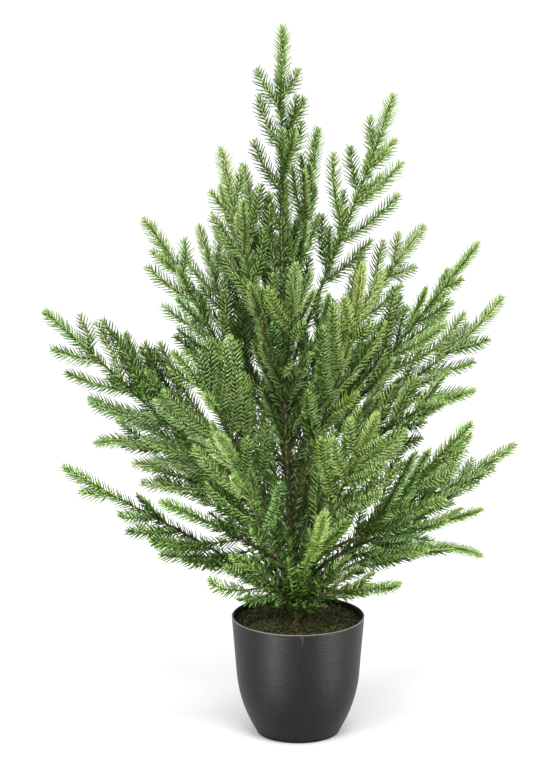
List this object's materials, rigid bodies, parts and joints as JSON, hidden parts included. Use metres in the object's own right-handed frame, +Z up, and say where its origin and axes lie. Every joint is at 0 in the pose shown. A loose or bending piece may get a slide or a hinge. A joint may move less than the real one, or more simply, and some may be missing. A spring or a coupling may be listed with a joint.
{
  "type": "artificial potted pine tree",
  "caption": "Tabletop artificial pine tree with upswept boughs and feathery needle sprays, in a plain black tapered pot topped with moss.",
  "frame": {"origin": "centre of the pot's flat underside", "axes": "+Z up along the pot's axis, -Y towards the side that faces the viewer, +X to the viewer's right"},
  "size_m": [0.4535, 0.3462, 0.6786],
  "materials": {
    "pot_plastic": "satin",
    "moss_fill": "matte",
    "bark": "matte",
    "foliage": "satin"
  },
  "bodies": {
    "root": {"bough_back_1": "bark", "bough_back_2": "bark", "bough_back_3": "bark", "bough_front_1": "bark", "bough_left_1": "bark", "bough_left_2": "bark", "bough_left_4": "bark", "bough_left_5": "bark", "bough_left_6": "bark", "bough_left_9": "bark", "bough_right_1": "bark", "bough_right_10": "bark", "bough_right_2": "bark", "bough_right_3": "bark", "bough_right_4": "bark", "bough_right_5": "bark", "bough_right_6": "bark", "bough_right_7": "bark", "bough_right_8": "bark", "bough_right_9": "bark", "fill": "moss_fill", "foliage_back_1": "foliage", "foliage_back_2": "foliage", "foliage_back_3": "foliage", "foliage_back_4": "foliage", "foliage_back_5": "foliage", "foliage_back_6": "foliage", "foliage_front_1": "foliage", "foliage_front_2": "foliage", "foliage_front_3": "foliage", "foliage_front_4": "foliage", "foliage_front_5": "foliage", "foliage_leader": "foliage", "foliage_left_1": "foliage", "foliage_left_10": "foliage", "foliage_left_11": "foliage", "foliage_left_2": "foliage", "foliage_left_3": "foliage", "foliage_left_4": "foliage", "foliage_left_5": "foliage", "foliage_left_6": "foliage", "foliage_left_7": "foliage", "foliage_left_8": "foliage", "foliage_left_9": "foliage", "foliage_right_1": "foliage", "foliage_right_10": "foliage", "foliage_right_11": "foliage", "foliage_right_2": "foliage", "foliage_right_3": "foliage", "foliage_right_4": "foliage", "foliage_right_5": "foliage", "foliage_right_6": "foliage", "foliage_right_7": "foliage", "foliage_right_8": "foliage", "foliage_right_9": "foliage", "foliage_upper_front": "foliage", "foliage_upper_left": "foliage", "foliage_upper_right": "foliage", "pot": "pot_plastic", "trunk": "bark"}
  },
  "joints": []
}
